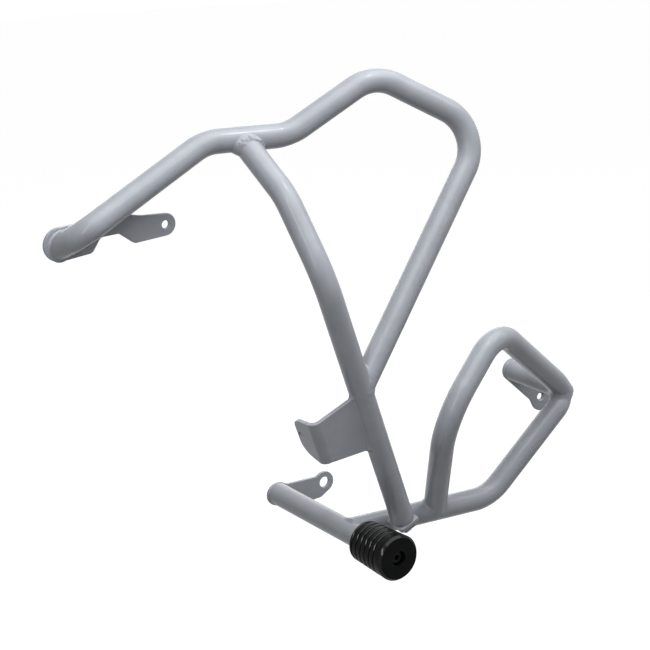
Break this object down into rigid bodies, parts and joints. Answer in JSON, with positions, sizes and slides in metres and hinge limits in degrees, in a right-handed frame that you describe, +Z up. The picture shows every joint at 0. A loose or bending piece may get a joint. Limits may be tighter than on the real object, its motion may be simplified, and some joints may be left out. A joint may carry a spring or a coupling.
{
  "type": "motorcycle crash bars",
  "caption": "Welded bent-tube side guard for a motorcycle, with bolt-on brackets and a ribbed impact slider.",
  "frame": {"origin": "centre of the bolt hole in the lower inner bracket, on the face that seats against the engine", "axes": "+X towards the rear of the motorcycle, -Y outward from its left side, +Z up"},
  "size_m": [0.7096, 0.2465, 0.5469],
  "materials": {
    "frame_paint": "satin silver-grey powder coat",
    "bare_steel": "zinc plated",
    "black_steel": "black oxide",
    "slider_plastic": "turned nylon, soft sheen"
  },
  "bodies": {
    "root": {"hoop_tube": "frame_paint", "down_tube": "frame_paint", "cross_tube": "frame_paint", "rail_tube": "frame_paint", "loop_tube": "frame_paint", "front_bracket": "frame_paint", "inner_bracket": "frame_paint", "rear_bracket": "frame_paint", "mid_bracket": "frame_paint", "front_bracket_weld": "frame_paint", "inner_bracket_weld": "frame_paint", "rear_bracket_weld": "frame_paint", "mid_bracket_weld": "frame_paint", "hoop_top_weld": "frame_paint", "hoop_end_weld": "frame_paint", "rail_weld": "frame_paint", "loop_foot_weld": "frame_paint", "loop_top_weld": "frame_paint", "foot_plate": "frame_paint", "rail_tab": "frame_paint", "rail_tab_weld": "frame_paint", "foot_insert": "bare_steel", "joint_bolt": "bare_steel", "joint_washer": "bare_steel", "slider_puck": "slider_plastic", "slider_plug": "bare_steel", "slider_sleeve": "bare_steel", "slider_washer": "black_steel", "slider_bolt": "black_steel"}
  },
  "joints": []
}
